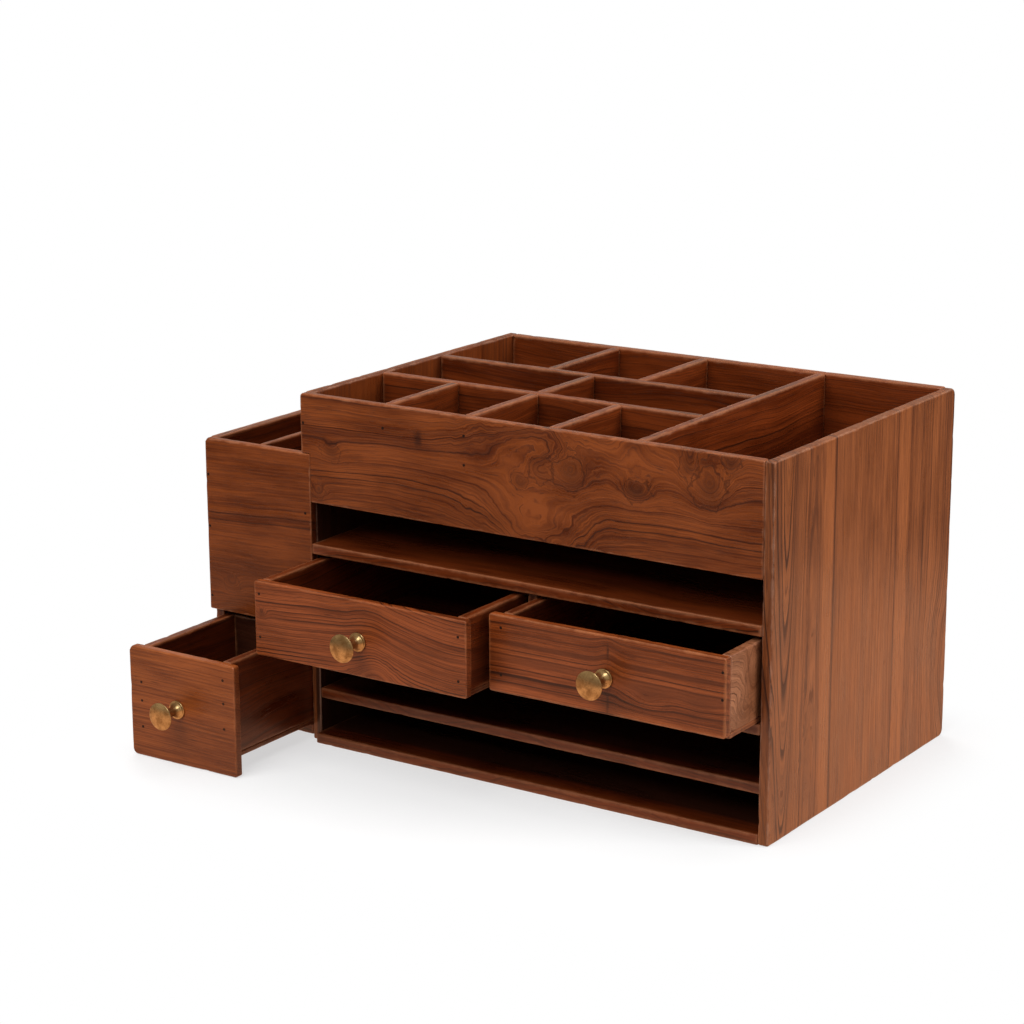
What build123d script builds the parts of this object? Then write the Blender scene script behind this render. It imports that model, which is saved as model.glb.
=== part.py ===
from build123d import *
from dataclasses import dataclass
import os

# Wooden desk organizer: open paper slots and two drawers under a divided top tray, with a lower pen box
# and its own drawer against the left side. Boards are butted, glued and nailed. The drawers stand part-way
# out. Frame: origin at the centre of the case's underside, +X right, +Y back, +Z up, in millimetres.

# Case: outer width and depth, board thicknesses, and clear heights from the table up
CASE_WIDTH = 410.0
CASE_DEPTH = 287.0
PANEL = 8.0
SHELF = 8.0
FACING = 7.0
LOWER_SLOT = 27.5
MIDDLE_SLOT = 38.5
DRAWER_BAY = 64.0
UPPER_SLOT = 33.0
TRAY_DEPTH = 77.0
LEFT_BAY = 195.0
PARTITION = 8.0

# Tray: dividers and the clear sizes of its rows, its full-depth column and the middle cell of its rear row
DIVIDER = 7.5
FRONT_ROW = 87.75
MIDDLE_ROW = 72.0
RIGHT_COLUMN = 99.0
REAR_MIDDLE_CELL = 75.5
FRONT_ROW_CELLS = 4
MIDDLE_ROW_CELLS = 2

# Pen box: outer width beside the case, outer depth, how far its rim lies below the case's, how far its bottom
# board is off the table, and the clear height of its drawer's bay
PEN_BOX_WIDTH = 96.0
PEN_BOX_DEPTH = 123.0
PEN_BOX_DROP = 47.0
PEN_BOTTOM_LIFT = 3.4
SIDE_BAY = 82.0
PEN_DIVIDER = 5.0

# Drawers: walls, bottoms, gaps to the case, how far the upper ones stand out, and how much of the side one
# is still in its bay
WALL = 8.0
BOTTOM_SHEET = 4.0
RUN_GAP = 0.3
BAY_GAP = 0.75
END_GAP = 2.5
FRONT_LIFT = 2.0
HEAD_GAP = 3.6
SIDE_HEAD_GAP = 4.9
TABLE_GAP = 0.5
REAR_GAP = 1.0
LEFT_DRAWER_LEFT_INSET = 2.0
LEFT_DRAWER_RIGHT_INSET = 4.5
LEFT_PULL = 71.5
RIGHT_PULL = 45.0
SIDE_DRAWER_KEPT = 17.0

# Turned brass knob, with lengths measured from the drawer's face, and the screw that holds it
KNOB_LENGTH = 22.0
KNOB_HEAD = 21.5
KNOB_NECK = 7.0
KNOB_BASE = 14.6
KNOB_BASE_HEIGHT = 1.6
KNOB_SHOULDER = 11.4
KNOB_FLARE = 6.0
KNOB_RIM = 1.6
KNOB_DOME = 1.5
KNOB_UNDERCUT = 1.1
KNOB_THROAT = 11.0
KNOB_HEAD_FLARE = 3.6
KNOB_DROP = 2.6
SIDE_KNOB_SHIFT = 5.0
SCREW = 4.0
SCREW_CLEARANCE = 0.4
SCREW_ROOT = 3.3
SCREW_HEAD = 7.4
SCREW_HEAD_HEIGHT = 2.2
SCREW_GRIP = 9.0

# Nails with small square-cut shanks: across flats, length, how far heads stand proud, distance from an edge
NAIL = 2.0
NAIL_SIDES = 8
NAIL_LENGTH = 22.0
NAIL_PROUD = 0.15
NAIL_INSET = 2.5

# Extra length of a cutting tool
OVERRUN = 10.0

# Edge work: worn arrises, rounded rims of the tray and walls, and rounded corners of boards
ARRIS = 1.2
RIM_ROUND = 2.2
CORNER = 4.0
DRAWER_CORNER = 2.0
SIDE_DRAWER_CORNER = 4.5
PANEL_CORNER = 7.0
ROUND_LIMIT_SHARE = 0.3

# Nail heights as shares of the board that they go through, from its lower edge
APRON_NAIL_SHARES = {"left_panel": (0.73,), "divider_1": (0.79,), "divider_2": (0.57, 0.83)}
PEN_FRONT_LEFT_NAIL_SHARES = (0.08, 0.49, 0.79)
PEN_FRONT_RIGHT_NAIL_SHARES = (0.2, 0.66)
LEFT_DRAWER_NAIL_SHARES = {"left": (0.25, 0.83), "right": (0.21, 0.78)}
RIGHT_DRAWER_NAIL_SHARES = {"left": (0.23, 0.84), "right": (0.48, 0.82)}
SIDE_DRAWER_NAIL_SHARES = {"left": (0.27, 0.51, 0.68), "right": (0.42, 0.65, 0.86)}
WALL_NAIL_SHARES = (0.25, 0.75)
BOTTOM_NAIL_SHARES = (0.1, 0.5, 0.9)

# Limits of the case on each axis, and of its level boards from the table up
LEFT = -CASE_WIDTH / 2
RIGHT = CASE_WIDTH / 2
FRONT = -CASE_DEPTH / 2
BACK = CASE_DEPTH / 2
INNER_LEFT = LEFT + PANEL
INNER_RIGHT = RIGHT - PANEL
SETBACK = FRONT + FACING
INNER_BACK = BACK - PANEL
LOWER_SHELF = SHELF + LOWER_SLOT
DRAWER_BOARD = LOWER_SHELF + SHELF + MIDDLE_SLOT
BAY_FLOOR = DRAWER_BOARD + SHELF
UPPER_SHELF = BAY_FLOOR + DRAWER_BAY
TRAY_FLOOR = UPPER_SHELF + SHELF + UPPER_SLOT
TRAY_BED = TRAY_FLOOR + SHELF
TOP = TRAY_BED + TRAY_DEPTH
PARTITION_LEFT = INNER_LEFT + LEFT_BAY
PARTITION_RIGHT = PARTITION_LEFT + PARTITION

# Limits of the tray's dividers
LONG_RIGHT = INNER_RIGHT - RIGHT_COLUMN
LONG_LEFT = LONG_RIGHT - DIVIDER
CROSS_FRONT = SETBACK + FRONT_ROW
CROSS_REAR = CROSS_FRONT + DIVIDER + MIDDLE_ROW
TRAY_MIDDLE = (INNER_LEFT + LONG_LEFT) / 2

# Limits of the pen box
PEN_LEFT = LEFT - PEN_BOX_WIDTH
PEN_INNER_LEFT = PEN_LEFT + PANEL
PEN_BACK = FRONT + PEN_BOX_DEPTH
PEN_INNER_BACK = PEN_BACK - PANEL
PEN_BOX_HEIGHT = TOP - PEN_BOX_DROP
PEN_BOTTOM = PEN_BOTTOM_LIFT + SHELF
PEN_FLOOR = PEN_BOTTOM + SIDE_BAY
PEN_BED = PEN_FLOOR + SHELF
PEN_MIDDLE = (PEN_INNER_LEFT + LEFT) / 2

UP = Axis.Z
FORWARD = -Axis.Y
BACKWARD = Axis.Y
HALF_TURN = 180.0


@dataclass(frozen=True)
class Drawer:
    """One drawer: limits of its front and box as (low, high), its length and how far it stands out."""

    name: str
    front_x: tuple
    front_z: tuple
    box_x: tuple
    box_low: float
    length: float
    closed: float
    pull: float
    knob_shift: tuple
    left_corner: float
    nail_shares: dict

    @property
    def face(self):
        """Place of the front's outer face on Y."""
        return self.closed - self.pull

    def on_knob_axis(self, y):
        """The location at a place on Y where the knob's axis passes."""
        across, up = self.knob_shift
        return Pos(sum(self.front_x) / 2 + across, y, sum(self.front_z) / 2 + up)


def board(x, y, z):
    """A planed board between (low, high) limits on each axis."""
    centre = [(low + high) / 2 for low, high in (x, y, z)]
    return Pos(*centre) * Box(*(high - low for low, high in (x, y, z)))


def limited(radius, thickness):
    """An edge radius, held to a share of the board's thickness."""
    return min(radius, ROUND_LIMIT_SHARE * thickness)


def rounded(part, radius, towards, along=None):
    """Round the edges of the outermost face on one side, all of them or those along one axis."""
    edges = part.faces().sort_by(towards)[-1].edges()
    return fillet(edges if along is None else edges.filter_by(along), radius)


def corners(part, radius, along, *keys):
    """Round upright or level corners: edges along one axis, picked by sorting in turn with each key."""
    edges = part.edges().filter_by(along)
    for key in keys:
        edges = edges.group_by(key)[-1]
    return fillet(edges, radius)


def rimmed(x, y, z, along, thickness):
    """An upright board whose top edges along its length are rounded over."""
    return rounded(board(x, y, z), limited(RIM_ROUND, thickness), UP, along)


def level_board(x, y, z):
    """A level board with worn front edges."""
    return rounded(board(x, y, z), limited(ARRIS, SHELF), FORWARD, Axis.X)


def nail(point, direction):
    """A nail whose head stands a little proud at a point, driven along a direction."""
    head = Plane(origin=point, z_dir=direction).offset(-NAIL_PROUD)
    return extrude(head * RegularPolygon(NAIL / 2, side_count=NAIL_SIDES, major_radius=False), NAIL_LENGTH)


def case_panels():
    """Side and back panels of the case."""
    upright = (0, TOP)
    left = rimmed((LEFT, INNER_LEFT), (SETBACK, BACK), upright, Axis.Y, PANEL)
    right = board((INNER_RIGHT, RIGHT), (FRONT, BACK), upright)
    right = corners(right, PANEL_CORNER, Axis.X, BACKWARD, UP)
    right = corners(right, limited(CORNER, PANEL), Axis.X, FORWARD, -UP)
    right = rounded(right, limited(RIM_ROUND, PANEL), FORWARD, Axis.Z)
    right = rounded(right, limited(RIM_ROUND, PANEL), UP, Axis.Y)
    back = rimmed((INNER_LEFT, INNER_RIGHT), (INNER_BACK, BACK), upright, Axis.X, PANEL)
    return {"left_panel": left, "right_panel": right, "back_panel": back}


def apron():
    """Front board of the tray, cut away at its lower left for the end of the pen box front."""
    front = (FRONT, SETBACK)
    plank = board((LEFT, INNER_RIGHT), front, (TRAY_FLOOR, TOP))
    plank -= board((LEFT, INNER_LEFT), front, (TRAY_FLOOR, PEN_BOX_HEIGHT))
    plank = rounded(plank, limited(RIM_ROUND, FACING), UP, Axis.X)
    return {"apron": rounded(plank, limited(ARRIS, FACING), FORWARD, Axis.X)}


def case_shelves():
    """Level boards of the case, and the upright between its two drawers."""
    width = (INNER_LEFT, INNER_RIGHT)
    flush = (FRONT, INNER_BACK)
    recessed = (SETBACK, INNER_BACK)
    return {
        "bottom_board": level_board(width, flush, (0, SHELF)),
        "lower_shelf": level_board(width, recessed, (LOWER_SHELF, LOWER_SHELF + SHELF)),
        "drawer_board": level_board(width, flush, (DRAWER_BOARD, BAY_FLOOR)),
        "upper_shelf": level_board(width, flush, (UPPER_SHELF, UPPER_SHELF + SHELF)),
        "tray_floor": board(width, recessed, (TRAY_FLOOR, TRAY_BED)),
        "drawer_partition": board(
            (PARTITION_LEFT, PARTITION_RIGHT), (SETBACK + RUN_GAP, INNER_BACK), (BAY_FLOOR, UPPER_SHELF)
        ),
    }


def even_centres(low, high, cells):
    """Centres of the dividers that part a clear width into equal cells."""
    pitch = (high - low + DIVIDER) / cells
    return [low + pitch * (index + 1) - DIVIDER / 2 for index in range(cells - 1)]


def front_row_centres():
    """Centres of the dividers of the tray's front row."""
    return even_centres(INNER_LEFT, LONG_LEFT, FRONT_ROW_CELLS)


def tray_dividers():
    """Dividers of the tray: one front to back, two across, and the short ones of each row."""
    height = (TRAY_BED, TOP)
    across = (INNER_LEFT, LONG_LEFT)

    def cross(low):
        return rimmed(across, (low, low + DIVIDER), height, Axis.X, DIVIDER)

    def short(centre, y):
        return rimmed((centre - DIVIDER / 2, centre + DIVIDER / 2), y, height, Axis.Y, DIVIDER)

    parts = {
        "tray_long_divider": rimmed(
            (LONG_LEFT, LONG_RIGHT), (SETBACK, INNER_BACK), height, Axis.Y, DIVIDER
        ),
        "tray_cross_divider_front": cross(CROSS_FRONT),
        "tray_cross_divider_rear": cross(CROSS_REAR),
    }
    for index, centre in enumerate(front_row_centres(), start=1):
        parts[f"tray_front_divider_{index}"] = short(centre, (SETBACK, CROSS_FRONT))
    (middle,) = even_centres(*across, MIDDLE_ROW_CELLS)
    parts["tray_middle_divider"] = short(middle, (CROSS_FRONT + DIVIDER, CROSS_REAR))
    offset = (REAR_MIDDLE_CELL + DIVIDER) / 2
    for index, side in enumerate((-1, 1), start=1):
        centre = TRAY_MIDDLE + side * offset
        parts[f"tray_rear_divider_{index}"] = short(centre, (CROSS_REAR + DIVIDER, INNER_BACK))
    return parts


def pen_box():
    """Pen box against the case's left panel, open below its floor for the side drawer."""
    across = (PEN_INNER_LEFT, LEFT)
    depth = (SETBACK, PEN_INNER_BACK)
    front = board((PEN_LEFT, INNER_LEFT), (FRONT, SETBACK), (PEN_FLOOR, PEN_BOX_HEIGHT))
    front = corners(front, CORNER, Axis.Y, -Axis.X)
    front = rounded(front, limited(ARRIS, FACING), FORWARD)
    side = board((PEN_LEFT, PEN_INNER_LEFT), (SETBACK, PEN_BACK), (0, PEN_BOX_HEIGHT))
    side = corners(side, CORNER, Axis.X, BACKWARD, UP)
    middle = (PEN_MIDDLE - PEN_DIVIDER / 2, PEN_MIDDLE + PEN_DIVIDER / 2)
    rear = (PEN_INNER_BACK, PEN_BACK)
    return {
        "pen_box_front": rounded(front, limited(ARRIS, FACING), BACKWARD, Axis.X),
        "pen_box_side": rounded(side, limited(RIM_ROUND, PANEL), UP, Axis.Y),
        "pen_box_back": rimmed(across, rear, (0, PEN_BOX_HEIGHT), Axis.X, PANEL),
        "pen_box_bottom": board(across, depth, (PEN_BOTTOM_LIFT, PEN_BOTTOM)),
        "pen_box_floor": board(across, depth, (PEN_FLOOR, PEN_BED)),
        "pen_box_divider": rimmed(middle, depth, (PEN_BED, PEN_BOX_HEIGHT), Axis.Y, PEN_DIVIDER),
    }


def case_nails():
    """Nails through the apron and the pen box front into the boards behind them."""
    first, second = front_row_centres()[:2]
    apron_x = {"left_panel": LEFT + NAIL_INSET, "divider_1": first, "divider_2": second}
    rows = [
        (x, TRAY_FLOOR, TOP, APRON_NAIL_SHARES[board_name]) for board_name, x in apron_x.items()
    ]
    rows.append((PEN_LEFT + NAIL_INSET, PEN_FLOOR, PEN_BOX_HEIGHT, PEN_FRONT_LEFT_NAIL_SHARES))
    rows.append((LEFT + NAIL_INSET, PEN_FLOOR, PEN_BOX_HEIGHT, PEN_FRONT_RIGHT_NAIL_SHARES))
    nails = [
        nail((x, FRONT, low + share * (high - low)), (0, 1, 0))
        for x, low, high, shares in rows
        for share in shares
    ]
    return {"case_nails": Compound(nails)}


def knob_and_screw(drawer):
    """Mushroom knob turned about its axis, and the screw through the drawer's front that holds it."""
    rim_low = KNOB_LENGTH - KNOB_DOME - KNOB_RIM
    base, neck, head = KNOB_BASE / 2, KNOB_NECK / 2, KNOB_HEAD / 2
    flange = (base, KNOB_BASE_HEIGHT)
    shoulder = (KNOB_SHOULDER / 2, KNOB_BASE_HEIGHT)
    neck_low = (neck, KNOB_BASE_HEIGHT + KNOB_FLARE)
    neck_high = (neck, rim_low - KNOB_UNDERCUT - KNOB_HEAD_FLARE)
    throat = (KNOB_THROAT / 2, rim_low - KNOB_UNDERCUT)
    rim = (head, rim_low + KNOB_RIM)
    outline = Polyline((0, KNOB_LENGTH), (0, 0), (base, 0), flange, shoulder)
    outline += TangentArc(neck_low, shoulder, tangent=(0, -1))
    outline += Line(neck_low, neck_high)
    outline += TangentArc(neck_high, throat, tangent=(0, 1))
    outline += Polyline(throat, (head, rim_low), rim)
    outline += TangentArc((0, KNOB_LENGTH), rim, tangent=(1, 0))
    turned = revolve(make_face(outline), Axis.Y)
    along_y = Rot(-HALF_TURN / 2, 0, 0)
    from_end = (Align.CENTER, Align.CENTER, Align.MIN)
    turned -= along_y * Cylinder(SCREW_ROOT / 2, SCREW_GRIP, align=from_end)
    inside = drawer.on_knob_axis(drawer.face + FACING)
    shank = along_y * Cylinder(SCREW / 2, FACING + SCREW_GRIP, align=from_end)
    head_disc = along_y * Cylinder(SCREW_HEAD / 2, SCREW_HEAD_HEIGHT, align=from_end)
    screw = inside * (Rot(HALF_TURN, 0, 0) * shank + head_disc)
    return {
        f"{drawer.name}_knob": drawer.on_knob_axis(drawer.face) * Rot(HALF_TURN, 0, 0) * turned,
        f"{drawer.name}_knob_screw": screw,
    }


def drawer_front(drawer):
    """Front board with rounded corners and the hole for the knob's screw."""
    depth = (drawer.face, drawer.face + FACING)
    front = corners(board(drawer.front_x, depth, drawer.front_z), drawer.left_corner, Axis.Y, -Axis.X)
    front = corners(front, DRAWER_CORNER, Axis.Y, Axis.X)
    front = rounded(front, limited(ARRIS, FACING), FORWARD)
    hole = Rot(HALF_TURN / 2, 0, 0) * Cylinder((SCREW + SCREW_CLEARANCE) / 2, FACING + OVERRUN)
    return front - drawer.on_knob_axis(sum(depth) / 2) * hole


def drawer_nails(drawer, front, back, low, top):
    """Nails through the front into the side walls, through those into the back, and up through the bottom."""
    face_low, face_top = drawer.front_z
    nails = []
    for side, x, inward in (("left", drawer.box_x[0], 1), ("right", drawer.box_x[1], -1)):
        into_wall = x + inward * NAIL_INSET
        middle = x + inward * WALL / 2
        for share in drawer.nail_shares[side]:
            nails.append(nail((into_wall, drawer.face, face_low + share * (face_top - face_low)), (0, 1, 0)))
        for share in WALL_NAIL_SHARES:
            nails.append(nail((x, back - WALL / 2, low + share * (top - low)), (inward, 0, 0)))
        for share in BOTTOM_NAIL_SHARES:
            nails.append(nail((middle, front + share * (back - front), drawer.box_low), (0, 0, 1)))
    return Compound(nails)


def drawer_parts(drawer):
    """All pieces of one drawer: front, walls, bottom, knob, screw and nails."""
    left, right = drawer.box_x
    front, back = drawer.face + FACING, drawer.face + drawer.length
    low, top = drawer.box_low + BOTTOM_SHEET, drawer.front_z[1]
    walls = (low, top)
    between = (left + WALL, right - WALL)
    parts = {
        "front": drawer_front(drawer),
        "left_side": rimmed((left, left + WALL), (front, back), walls, Axis.Y, WALL),
        "right_side": rimmed((right - WALL, right), (front, back), walls, Axis.Y, WALL),
        "back": rimmed(between, (back - WALL, back), walls, Axis.X, WALL),
        "bottom": board((left, right), (front, back), (drawer.box_low, low)),
        "nails": drawer_nails(drawer, front, back, low, top),
    }
    named = {f"{drawer.name}_{piece}": part for piece, part in parts.items()}
    return named | knob_and_screw(drawer)


def drawers():
    """The three drawers, each sized from the bay that it runs in."""
    upper_z = (BAY_FLOOR + FRONT_LIFT, UPPER_SHELF - HEAD_GAP)
    upper_low = BAY_FLOOR + RUN_GAP
    upper_knob_shift = (0, -KNOB_DROP)
    upper_length = CASE_DEPTH - PANEL - RUN_GAP
    left_front = (INNER_LEFT + BAY_GAP, PARTITION_LEFT - BAY_GAP)
    right_end = INNER_RIGHT - END_GAP
    side_length = PEN_BOX_DEPTH - PANEL - REAR_GAP
    return [
        Drawer(
            name="left_drawer",
            front_x=left_front,
            front_z=upper_z,
            box_x=(left_front[0] + LEFT_DRAWER_LEFT_INSET, left_front[1] - LEFT_DRAWER_RIGHT_INSET),
            box_low=upper_low,
            length=upper_length,
            closed=FRONT,
            pull=LEFT_PULL,
            knob_shift=upper_knob_shift,
            left_corner=DRAWER_CORNER,
            nail_shares=LEFT_DRAWER_NAIL_SHARES,
        ),
        Drawer(
            name="right_drawer",
            front_x=(PARTITION_LEFT + BAY_GAP, right_end),
            front_z=upper_z,
            box_x=(PARTITION_RIGHT + BAY_GAP, right_end),
            box_low=upper_low,
            length=upper_length,
            closed=FRONT,
            pull=RIGHT_PULL,
            knob_shift=upper_knob_shift,
            left_corner=DRAWER_CORNER,
            nail_shares=RIGHT_DRAWER_NAIL_SHARES,
        ),
        Drawer(
            name="side_drawer",
            front_x=(PEN_LEFT, INNER_LEFT - RUN_GAP),
            front_z=(TABLE_GAP, PEN_FLOOR - SIDE_HEAD_GAP),
            box_x=(PEN_INNER_LEFT + BAY_GAP, LEFT - BAY_GAP),
            box_low=PEN_BOTTOM + RUN_GAP,
            length=side_length,
            closed=FRONT - RUN_GAP,
            pull=side_length - SIDE_DRAWER_KEPT,
            knob_shift=(-SIDE_KNOB_SHIFT, 0),
            left_corner=SIDE_DRAWER_CORNER,
            nail_shares=SIDE_DRAWER_NAIL_SHARES,
        ),
    ]


def organizer():
    """Every piece of the organizer by its node's name."""
    parts = case_panels() | apron() | case_shelves() | tray_dividers() | pen_box() | case_nails()
    for drawer in drawers():
        parts |= drawer_parts(drawer)
    return parts


os.makedirs("parts", exist_ok=True)
for node, part in organizer().items():
    export_step(part, f"parts/{node}.step")
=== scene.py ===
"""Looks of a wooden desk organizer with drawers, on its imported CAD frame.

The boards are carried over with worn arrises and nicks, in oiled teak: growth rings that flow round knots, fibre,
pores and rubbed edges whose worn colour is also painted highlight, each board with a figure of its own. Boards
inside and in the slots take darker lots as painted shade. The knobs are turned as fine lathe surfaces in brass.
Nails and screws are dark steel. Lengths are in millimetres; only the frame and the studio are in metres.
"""

import logging
from dataclasses import dataclass, field, replace
from enum import Enum
from functools import cached_property, partial, reduce
from math import cos, pi, radians, sin

import bpy
import numpy as np
from mathutils import Matrix, Vector


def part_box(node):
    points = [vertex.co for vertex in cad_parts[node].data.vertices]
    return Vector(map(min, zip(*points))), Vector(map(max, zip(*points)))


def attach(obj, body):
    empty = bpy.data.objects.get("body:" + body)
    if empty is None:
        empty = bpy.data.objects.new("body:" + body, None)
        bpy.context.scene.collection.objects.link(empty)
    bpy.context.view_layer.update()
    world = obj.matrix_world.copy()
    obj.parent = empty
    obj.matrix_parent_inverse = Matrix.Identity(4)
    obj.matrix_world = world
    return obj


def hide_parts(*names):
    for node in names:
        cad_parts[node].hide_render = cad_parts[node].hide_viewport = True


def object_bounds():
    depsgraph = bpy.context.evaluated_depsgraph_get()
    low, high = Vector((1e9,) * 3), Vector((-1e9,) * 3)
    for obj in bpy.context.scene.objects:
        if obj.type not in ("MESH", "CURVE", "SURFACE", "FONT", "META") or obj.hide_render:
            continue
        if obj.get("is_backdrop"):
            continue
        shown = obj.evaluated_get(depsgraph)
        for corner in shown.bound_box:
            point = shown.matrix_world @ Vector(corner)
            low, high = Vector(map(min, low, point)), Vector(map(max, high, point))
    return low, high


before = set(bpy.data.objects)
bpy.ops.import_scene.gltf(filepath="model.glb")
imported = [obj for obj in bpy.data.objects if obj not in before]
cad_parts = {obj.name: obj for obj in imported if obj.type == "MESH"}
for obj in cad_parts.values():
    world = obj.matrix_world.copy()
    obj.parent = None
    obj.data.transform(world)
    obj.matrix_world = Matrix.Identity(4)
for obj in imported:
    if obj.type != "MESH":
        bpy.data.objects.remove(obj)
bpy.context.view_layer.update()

log = logging.getLogger("organizer")

MM = 0.001
BUMP_STRENGTH = 0.3
# Points on a corner and on an arris, spacing and fewest spans on the sides.
CORNER_POINTS, ARRIS_POINTS, SIDE_SPACING, LEAST_SPANS = 7, 6, 4.0, 3
# The strip of face beside an arris, and the least bulge left in a corner.
FACE_MARGIN, LEAST_BULGE = 0.8, 0.05
# The largest arris as a share of the thickness, and how far the upper arris's seed is from the lower one's.
ARRIS_LIMIT, UPPER_SEED = 0.42, 7
# Wear of an arris: the waves' lengths, starts per seed and shares, what is steady, and the nicks.
WAVE_LENGTHS, WAVE_STARTS, WAVE_SHARES = (190.0, 67.0, 25.0), (1.7, 2.9, 4.3), (0.16, 0.12, 0.06)
STEADY_SHARE, NICK_SHARE, NICK_POWER = 0.92, 0.8, 5
# How far the figure moves on with each seed and each glued plank, and how square to the grain end grain is.
SEED_STEP, PLANK_STEP, END_GRAIN = (173.1, 61.7, 37.3), (97.3, 41.9, 13.7), (0.7, 0.95)

Colour = tuple[float, float, float]
Place = tuple[float, float, float]
Strips = tuple[tuple[float, float, float], ...]
Socket = bpy.types.NodeSocket
Sockets = dict[str, Socket]
Feed = float | tuple[float, ...] | Socket
Material = bpy.types.Material
Piece = bpy.types.Object


class Kind(Enum):
    """Kinds of socket that a node group has."""

    VALUE = "NodeSocketFloat"
    VECTOR = "NodeSocketVector"
    COLOUR = "NodeSocketColor"


class Grain(Enum):
    """Which axes of the frame lie along, across and through a board's grain."""

    ACROSS_FRONT = (0, 2, 1)
    ALONG_SIDE = (1, 2, 0)
    UPRIGHT_SIDE = (2, 1, 0)
    LEVEL = (0, 1, 2)


class Slot(Enum):
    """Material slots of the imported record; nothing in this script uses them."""

    TEAK = "teak"
    BRASS = "brass"


class NodeSheet:
    """A shader tree, with short ways to add nodes that are already fed."""

    def __init__(self, tree: bpy.types.NodeTree) -> None:
        """Keep the tree."""
        self.tree = tree

    def feed(self, socket: Socket, value: Feed) -> None:
        """Link a socket to another one, or set its own value.

        Args:
            socket: The input to feed.
            value: Another node's output, a number, a vector or a colour of three numbers.
        """
        if isinstance(value, Socket):
            self.tree.links.new(value, socket)
        elif socket.type == "RGBA":
            socket.default_value = (*value, 1.0)
        else:
            socket.default_value = value

    def add(self, kind: str, feeds: dict[str | int, Feed] | None = None, **settings: object) -> bpy.types.Node:
        """Add a node.

        Args:
            kind: Blender's name for the node type.
            feeds: What goes into its inputs, by name or number.
            settings: The node's own properties.

        Returns:
            The new node.
        """
        node = self.tree.nodes.new(kind)
        for name, value in settings.items():
            setattr(node, name, value)
        for key, value in (feeds or {}).items():
            self.feed(node.inputs[key], value)
        return node

    def math(self, operation: str, *feeds: Feed) -> Socket:
        """Give the result of a Math node."""
        return self.add("ShaderNodeMath", dict(enumerate(feeds)), operation=operation).outputs[0]

    def total(self, *parts: Feed) -> Socket:
        """Add up values."""
        return reduce(partial(self.math, "ADD"), parts)

    def times(self, *parts: Feed) -> Socket:
        """Multiply values."""
        return reduce(partial(self.math, "MULTIPLY"), parts)

    def minus(self, first: Feed, second: Feed) -> Socket:
        """Take a value from another."""
        return self.math("SUBTRACT", first, second)

    def larger(self, first: Feed, second: Feed) -> Socket:
        """Give the larger of two values."""
        return self.math("MAXIMUM", first, second)

    def vector(self, operation: str, *feeds: Feed) -> Socket:
        """Give the vector that a Vector Math node works out."""
        return self.add("ShaderNodeVectorMath", dict(enumerate(feeds)), operation=operation).outputs["Vector"]

    def measure(self, operation: str, *feeds: Feed) -> Socket:
        """Give the number that a Vector Math node works out."""
        return self.add("ShaderNodeVectorMath", dict(enumerate(feeds)), operation=operation).outputs["Value"]

    def split(self, vector: Feed) -> list[Socket]:
        """Give a vector's three parts."""
        return list(self.add("ShaderNodeSeparateXYZ", {0: vector}).outputs)

    def join(self, *parts: Feed) -> Socket:
        """Make a vector of three parts."""
        return self.add("ShaderNodeCombineXYZ", dict(enumerate(parts))).outputs[0]

    def step(self, value: Feed, low: Feed, high: Feed) -> Socket:
        """Rise smoothly from 0 at low to 1 at high, or fall where low is the larger."""
        feeds = {"Value": value, "From Min": low, "From Max": high}
        return self.add("ShaderNodeMapRange", feeds, interpolation_type="SMOOTHSTEP").outputs["Result"]

    def blend(self, share: Feed, first: Feed, second: Feed) -> Socket:
        """Mix two colours by a share of the second."""
        return self.add("ShaderNodeMix", {0: share, 6: first, 7: second}, data_type="RGBA").outputs[2]

    def swing(self, value: Feed, amount: Feed) -> Socket:
        """Give a 0 to 1 value as a swing of half the given amount to either side of 0."""
        return self.times(self.minus(value, 0.5), amount)

    def noise(self, point: Feed, stretch: float | Place, detail: float = 2.0, rough: float = 0.5) -> Socket:
        """Give noise at a point whose axes are first multiplied by the stretch, in turns per millimetre."""
        scaled = self.vector("MULTIPLY", point, stretch if isinstance(stretch, tuple) else (stretch,) * 3)
        feeds = {"Vector": scaled, "Scale": 1.0, "Detail": detail, "Roughness": rough}
        return self.add("ShaderNodeTexNoise", feeds).outputs["Fac"]

    def line_noise(self, value: Feed, scale: float, detail: float = 0.0) -> Socket:
        """Give noise along one number line."""
        feeds = {"W": value, "Scale": scale, "Detail": detail}
        return self.add("ShaderNodeTexNoise", feeds, noise_dimensions="1D").outputs["Fac"]

    def place(self) -> Socket:
        """Give the place on the object in millimetres."""
        return self.vector("MULTIPLY", self.add("ShaderNodeTexCoord").outputs["Object"], (1 / MM,) * 3)

    def rays(self) -> tuple[Socket, Socket]:
        """Tell the rays that the eye sees by, and the rays that show in gloss."""
        rays = self.add("ShaderNodeLightPath").outputs
        return self.larger(rays["Is Camera Ray"], rays["Is Transmission Ray"]), rays["Is Glossy Ray"]

    def surface(self, color: Feed, roughness: Feed, height: Feed, depth: float, metallic: float = 0.0) -> None:
        """Feed the material's own Principled shader.

        Args:
            color: Its base colour.
            roughness: Its roughness.
            height: What its bump is taken from.
            depth: How deep a height of 1 is, in metres.
            metallic: How far it is a metal.
        """
        bump = self.add("ShaderNodeBump", {"Strength": BUMP_STRENGTH, "Distance": depth, "Height": height})
        feeds = {"Base Color": color, "Roughness": roughness, "Normal": bump.outputs["Normal"], "Metallic": metallic}
        for name, value in feeds.items():
            self.feed(self.tree.nodes["Principled BSDF"].inputs[name], value)


def new_material(name: str) -> tuple[Material, NodeSheet]:
    """Make a material, and give it with its sheet."""
    made = bpy.data.materials.new(name)
    made.use_nodes = True
    return made, NodeSheet(made.node_tree)


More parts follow.
